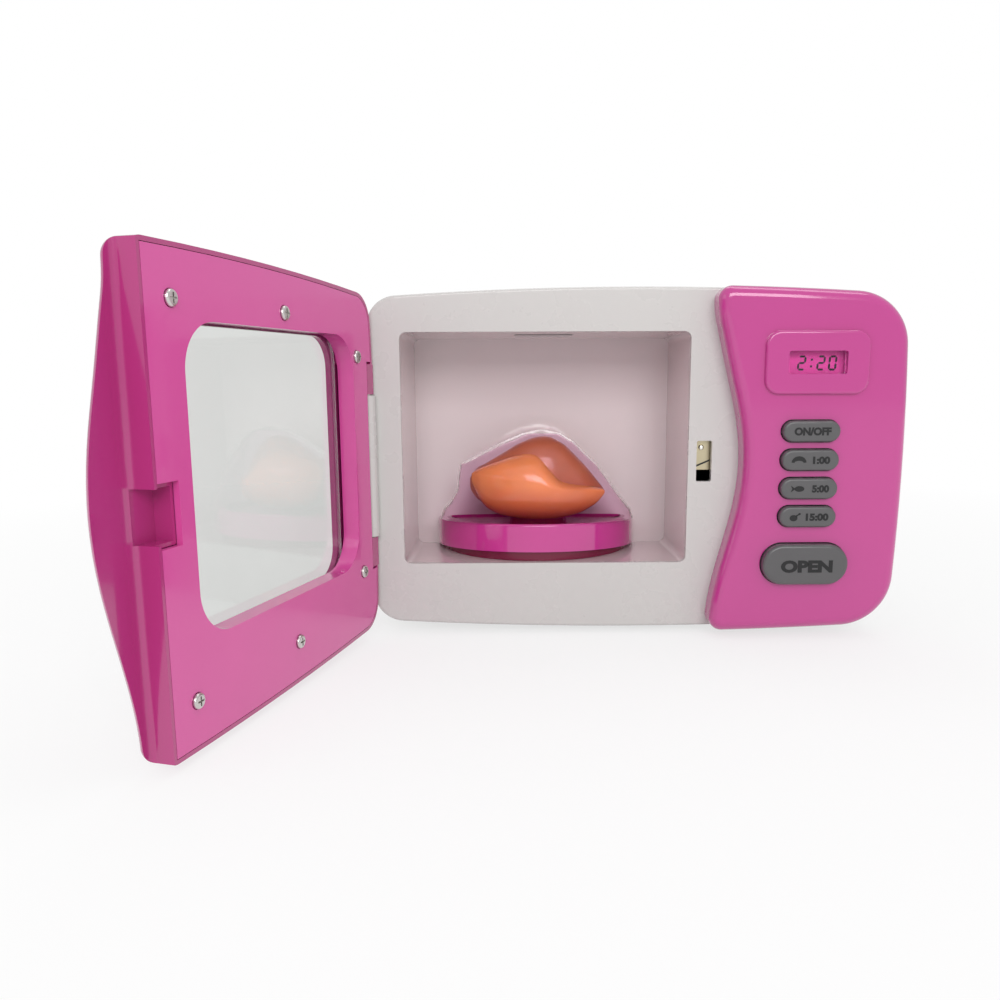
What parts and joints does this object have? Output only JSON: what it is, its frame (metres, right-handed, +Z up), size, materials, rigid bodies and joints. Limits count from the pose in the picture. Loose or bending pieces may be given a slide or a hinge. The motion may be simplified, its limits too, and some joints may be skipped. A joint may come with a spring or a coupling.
{
  "type": "toy microwave oven",
  "caption": "Toy microwave oven with an open side-hinged door, lit cavity, half-round dish with a roast under a clear dome, and push buttons.",
  "frame": {"origin": "on the table, under the middle of the body's width and depth, with the door left out", "axes": "+X to the right as seen from the front, +Y towards the back, +Z up"},
  "size_m": [0.277, 0.265, 0.1506],
  "materials": {
    "white_plastic": "moulded, satin gloss",
    "liner_plastic": "glossy pinkish grey",
    "pink_plastic": "glossy pink",
    "dish_pink": "glossy pink",
    "dish_magenta": "dark magenta",
    "clear_plastic": "clear",
    "dome_clear": "clear with a faint purple cast",
    "display_pink": "printed card",
    "display_white": "white",
    "grey_plastic": "dark grey, soft gloss",
    "mat_rubber": "grey silicone",
    "board_green": "green board",
    "black_plastic": "black",
    "foot_rubber": "dark rubber",
    "steel": "zinc plated",
    "latch_metal": "warm plated metal",
    "lamp_white": "diffuse lamp",
    "cell_jacket": "plain jacket",
    "chicken_brown": "glossy golden brown"
  },
  "bodies": {
    "body": {"front_frame": "white_plastic", "rear_shell": "white_plastic", "feet": "foot_rubber", "oven_liner": "liner_plastic", "lamp_lens": "clear_plastic", "cavity_lamp": "lamp_white", "lamp_holder": "black_plastic", "control_panel": "pink_plastic", "display_window": "clear_plastic", "display_card": "display_pink", "display_module": "display_white", "keypad_mat": "mat_rubber", "switch_board": "board_green", "board_screws": "steel", "panel_screws": "steel", "liner_screws": "steel", "body_screws": "steel", "latch_spring": "steel", "latch_guide": "white_plastic", "dish": "dish_pink", "dish_base": "dish_magenta", "roast_chicken": "chicken_brown", "food_dome": "dome_clear", "battery_box": "white_plastic", "batteries": "cell_jacket", "battery_contacts": "steel", "speaker": "black_plastic"},
    "door": {"door_outer_shell": "pink_plastic", "door_inner_cover": "pink_plastic", "door_window": "clear_plastic", "door_screws": "steel", "hinge_pin": "steel"},
    "power_button": {"power_button": "grey_plastic"},
    "one_minute_button": {"one_minute_button": "grey_plastic"},
    "five_minute_button": {"five_minute_button": "grey_plastic"},
    "fifteen_minute_button": {"fifteen_minute_button": "grey_plastic"},
    "open_button": {"open_button": "grey_plastic"},
    "latch": {"latch_plate": "latch_metal"},
    "battery_cover": {"battery_cover": "white_plastic", "cover_screw": "steel"}
  },
  "joints": [
    {"name": "door_hinge", "type": "hinge", "parent": "body", "child": "door", "pos_m": [-0.1124, -0.0578, 0], "axis": [0, 0, 1], "range_deg": [-4.5, 105.5]},
    {"name": "power_press", "type": "slide", "parent": "body", "child": "power_button", "axis": [0, 1, 0], "range_m": [0, 0.0012], "stiffness_N_per_m": 400},
    {"name": "one_minute_press", "type": "slide", "parent": "body", "child": "one_minute_button", "axis": [0, 1, 0], "range_m": [0, 0.0012], "stiffness_N_per_m": 400},
    {"name": "five_minute_press", "type": "slide", "parent": "body", "child": "five_minute_button", "axis": [0, 1, 0], "range_m": [0, 0.0012], "stiffness_N_per_m": 400},
    {"name": "fifteen_minute_press", "type": "slide", "parent": "body", "child": "fifteen_minute_button", "axis": [0, 1, 0], "range_m": [0, 0.0012], "stiffness_N_per_m": 400},
    {"name": "open_press", "type": "slide", "parent": "body", "child": "open_button", "axis": [0, 1, 0], "range_m": [0, 0.0035], "stiffness_N_per_m": 300},
    {"name": "latch_lift", "type": "slide", "parent": "body", "child": "latch", "axis": [0, 0, 1], "range_m": [0, 0.0035], "deforming": ["latch_spring"]},
    {"name": "battery_cover_lift", "type": "slide", "parent": "body", "child": "battery_cover", "axis": [0, 1, 0], "range_m": [0, 0.03]}
  ],
  "couplings": [
    {"joint": "latch_lift", "follows": "open_press", "ratio": 1}
  ]
}
